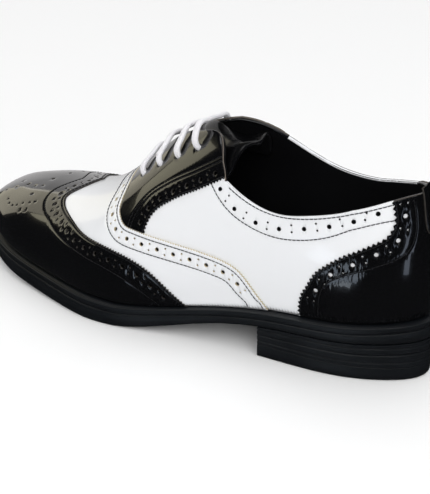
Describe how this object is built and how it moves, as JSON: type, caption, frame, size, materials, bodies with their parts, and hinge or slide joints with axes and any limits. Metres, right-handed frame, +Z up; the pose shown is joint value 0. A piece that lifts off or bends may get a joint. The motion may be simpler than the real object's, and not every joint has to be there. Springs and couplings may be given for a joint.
{
  "type": "spectator shoe",
  "caption": "Two-tone wing-cap lace-up dress shoe with a closed throat, perforated overlays, a welted low sole and a stacked block heel, standing empty.",
  "frame": {"origin": "centre of the bounding box in the plan, on the floor the shoe stands on", "axes": "+X towards the heel, -X towards the toe, -Y the outer side of the foot, +Y the inner side, +Z up"},
  "size_m": [0.2989, 0.1041, 0.113],
  "materials": {
    "sole_rubber": "satin blue-black moulded rubber",
    "sock_leather": "matte black sock lining",
    "white_patent": "cool white patent leather, lined in black",
    "black_patent": "black patent leather, mirror gloss",
    "lace_cord": "white woven cord"
  },
  "bodies": {
    "root": {"outsole": "sole_rubber", "welt": "sole_rubber", "heel_block": "sole_rubber", "heel_top_piece": "sole_rubber", "insole": "sock_leather", "upper": "white_patent", "vamp": "white_patent", "wing_cap": "black_patent", "heel_counter": "black_patent", "eyestay_near": "black_patent", "eyestay_far": "black_patent", "back_tab": "black_patent", "tongue": "black_patent", "lace_bar_1": "lace_cord", "lace_bar_2": "lace_cord", "lace_bar_3": "lace_cord", "lace_bar_4": "lace_cord"}
  },
  "joints": []
}
